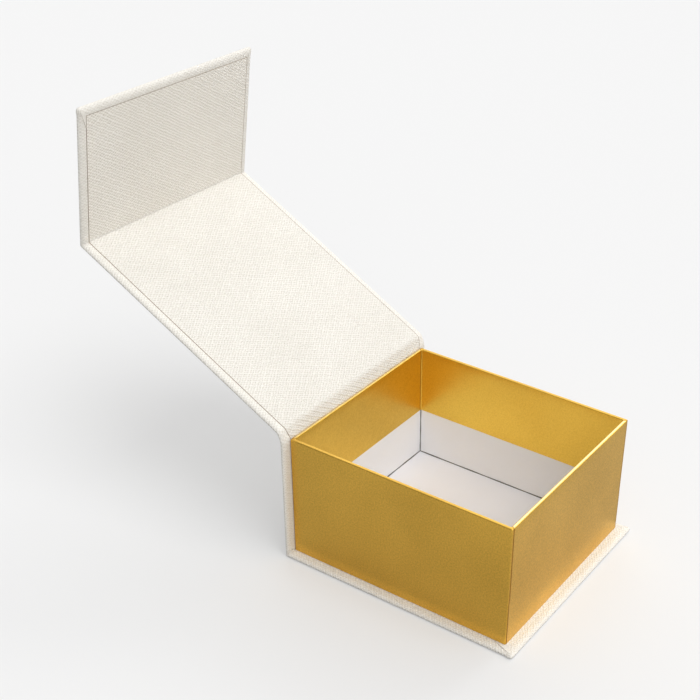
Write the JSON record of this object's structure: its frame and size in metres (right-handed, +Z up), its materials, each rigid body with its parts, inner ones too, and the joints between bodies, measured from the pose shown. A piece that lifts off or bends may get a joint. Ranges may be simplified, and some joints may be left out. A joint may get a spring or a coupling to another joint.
{
  "type": "gift box",
  "caption": "Book-style rigid gift box with a hinged lid and front flap, paper-wrapped case and foil-covered tray, standing open.",
  "frame": {"origin": "centre of the case's bottom face, on the surface the box stands on", "axes": "+Z up, +X along the folds to the right, -Y towards the front, +Y towards the spine and lid fold"},
  "size_m": [0.1086, 0.2298, 0.1875],
  "materials": {
    "cover_paper": "ivory embossed cover paper with a fine diagonal weave",
    "liner_paper": "the same ivory embossed paper, lining the inside",
    "gold_foil": "satin gold foil paper",
    "grey_board": "uncoated solid grey paperboard",
    "white_board": "solid grey paperboard lined white",
    "stay_paper": "brown kraft corner paper",
    "magnet": "nickel-plated magnet"
  },
  "bodies": {
    "box": {"cover_base": "cover_paper", "cover_spine": "cover_paper", "cover_lid_fold": "cover_paper", "liner_spine": "liner_paper", "liner_lid_fold": "liner_paper", "base_board": "grey_board", "spine_board": "grey_board", "tray_floor_board": "white_board", "tray_front_board": "white_board", "tray_back_board": "white_board", "tray_left_board": "white_board", "tray_right_board": "white_board", "corner_stay_back_left": "stay_paper", "corner_stay_back_right": "stay_paper", "corner_stay_front_left": "stay_paper", "corner_stay_front_right": "stay_paper", "tray_foil_wrap": "gold_foil", "tray_magnet_left": "magnet", "tray_magnet_right": "magnet"},
    "lid": {"lid_board": "grey_board", "cover_lid": "cover_paper", "liner_lid": "liner_paper", "cover_flap_fold": "cover_paper", "liner_flap_fold": "liner_paper"},
    "flap": {"flap_board": "grey_board", "cover_flap": "cover_paper", "liner_flap": "liner_paper", "flap_magnet_left": "magnet", "flap_magnet_right": "magnet"}
  },
  "joints": [
    {"name": "lid_hinge", "type": "hinge", "parent": "box", "child": "lid", "pos_m": [0, 0.05998, 0.06505], "axis": [1, 0, 0], "range_deg": [-58, 152], "deforming": ["cover_lid_fold", "liner_lid_fold"]},
    {"name": "flap_hinge", "type": "hinge", "parent": "lid", "child": "flap", "pos_m": [0, 0.16981, 0.12345], "axis": [1, 0, 0], "range_deg": [-70, 20], "deforming": ["cover_flap_fold", "liner_flap_fold"]}
  ]
}
